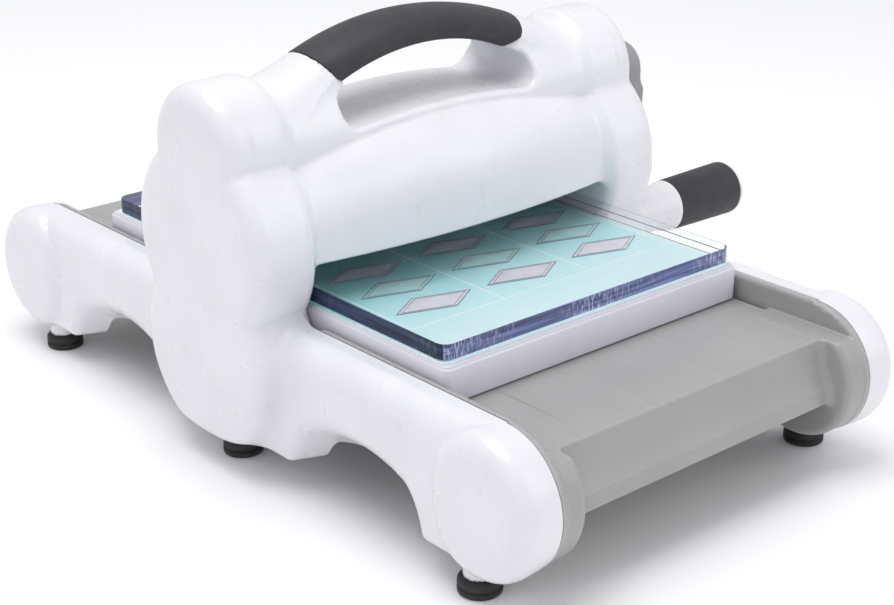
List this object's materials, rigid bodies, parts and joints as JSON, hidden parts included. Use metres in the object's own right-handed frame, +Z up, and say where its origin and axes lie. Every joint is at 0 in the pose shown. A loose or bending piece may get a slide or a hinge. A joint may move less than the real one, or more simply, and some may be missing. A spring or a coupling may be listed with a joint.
{
  "type": "die cutting machine",
  "caption": "Hand-cranked roller press for paper crafts: white lobed side towers, bridge with carrying handle, grey feed trays, side crank, clear plates between rollers.",
  "frame": {"origin": "on the surface that the feet stand on, midway between the towers and midway along the feed", "axes": "+X along the rollers towards the crank, +Y along the feed towards the rear, +Z up"},
  "size_m": [0.3145, 0.363, 0.1715],
  "materials": {
    "white_housing": "satin moulded, glossy on the bridge",
    "grey_plastic": "satin, fine feed scratches",
    "crank_grey": "satin moulded",
    "soft_grip": "soft-touch",
    "rubber_feet": "moulded",
    "steel": "zinc plated",
    "gear_steel": "machined, greased",
    "roller_steel": "ground",
    "bushes": "sintered bronze",
    "platform_white": "satin",
    "printed_sheet": "printed, pale edge",
    "clear_pads": "clear polycarbonate with blue-violet edges, scratched"
  },
  "bodies": {
    "frame": {"left_side_shell": "white_housing", "right_side_shell": "white_housing", "left_inner_wall": "white_housing", "right_inner_wall": "white_housing", "front_bridge_cover": "white_housing", "rear_bridge_cover": "white_housing", "handle_arch": "white_housing", "handle_grip": "soft_grip", "front_tray": "grey_plastic", "rear_tray": "grey_plastic", "base_cover": "white_housing", "front_left_foot": "rubber_feet", "middle_left_foot": "rubber_feet", "rear_left_foot": "rubber_feet", "front_right_foot": "rubber_feet", "middle_right_foot": "rubber_feet", "rear_right_foot": "rubber_feet", "left_frame_plate": "steel", "right_frame_plate": "steel", "upper_front_tie_rod": "steel", "upper_rear_tie_rod": "steel", "lower_front_tie_rod": "steel", "lower_rear_tie_rod": "steel", "tie_rod_screws": "steel", "shell_screws": "steel", "upper_left_bush": "bushes", "upper_right_bush": "bushes", "lower_left_bush": "bushes", "lower_right_bush": "bushes", "crank_inner_bush": "bushes", "crank_outer_bush": "bushes", "upper_idler_pin": "steel", "lower_idler_pin": "steel"},
    "crank": {"crank_shaft": "steel", "crank_pinion": "gear_steel", "crank_arm": "crank_grey", "hub_screw": "steel", "hub_cap": "crank_grey", "grip_bolt": "steel"},
    "crank_grip": {"grip_core": "white_housing", "grip_sleeve": "soft_grip", "grip_end_cap": "white_housing"},
    "upper_roller": {"upper_roller": "roller_steel", "upper_drive_gear": "gear_steel", "upper_timing_gear": "gear_steel"},
    "lower_roller": {"lower_roller": "roller_steel", "lower_timing_gear": "gear_steel"},
    "upper_idler": {"upper_idler_gear": "gear_steel"},
    "lower_idler": {"lower_idler_gear": "gear_steel"},
    "sandwich": {"platform": "platform_white", "die_sheet": "printed_sheet", "lower_cutting_pad": "clear_pads", "upper_cutting_pad": "clear_pads"}
  },
  "joints": [
    {"name": "crank_turn", "type": "hinge", "parent": "frame", "child": "crank", "pos_m": [0.1, 0, 0.11775], "axis": [1, 0, 0], "range_deg": [-510, 510]},
    {"name": "grip_spin", "type": "hinge", "parent": "crank", "child": "crank_grip", "pos_m": [0.16, 0, 0.049], "axis": [1, 0, 0], "continuous": true},
    {"name": "upper_roller_turn", "type": "hinge", "parent": "frame", "child": "upper_roller", "pos_m": [0, 0, 0.09825], "axis": [1, 0, 0], "range_deg": [-320, 320]},
    {"name": "lower_roller_turn", "type": "hinge", "parent": "frame", "child": "lower_roller", "pos_m": [0, 0, 0.03825], "axis": [1, 0, 0], "range_deg": [-320, 320]},
    {"name": "upper_idler_turn", "type": "hinge", "parent": "frame", "child": "upper_idler", "pos_m": [-0.095, 0, 0.07725], "axis": [1, 0, 0], "range_deg": [-427, 427]},
    {"name": "lower_idler_turn", "type": "hinge", "parent": "frame", "child": "lower_idler", "pos_m": [-0.095, 0, 0.05925], "axis": [1, 0, 0], "range_deg": [-427, 427]},
    {"name": "sandwich_feed", "type": "slide", "parent": "frame", "child": "sandwich", "axis": [0, 1, 0], "range_m": [-0.105, 0.105]}
  ],
  "couplings": [
    {"joint": "upper_roller_turn", "follows": "crank_turn", "ratio": -0.625},
    {"joint": "upper_idler_turn", "follows": "crank_turn", "ratio": 0.83333},
    {"joint": "lower_idler_turn", "follows": "crank_turn", "ratio": -0.83333},
    {"joint": "lower_roller_turn", "follows": "crank_turn", "ratio": 0.625},
    {"joint": "sandwich_feed", "follows": "crank_turn", "m_per_rad": -0.011719}
  ]
}
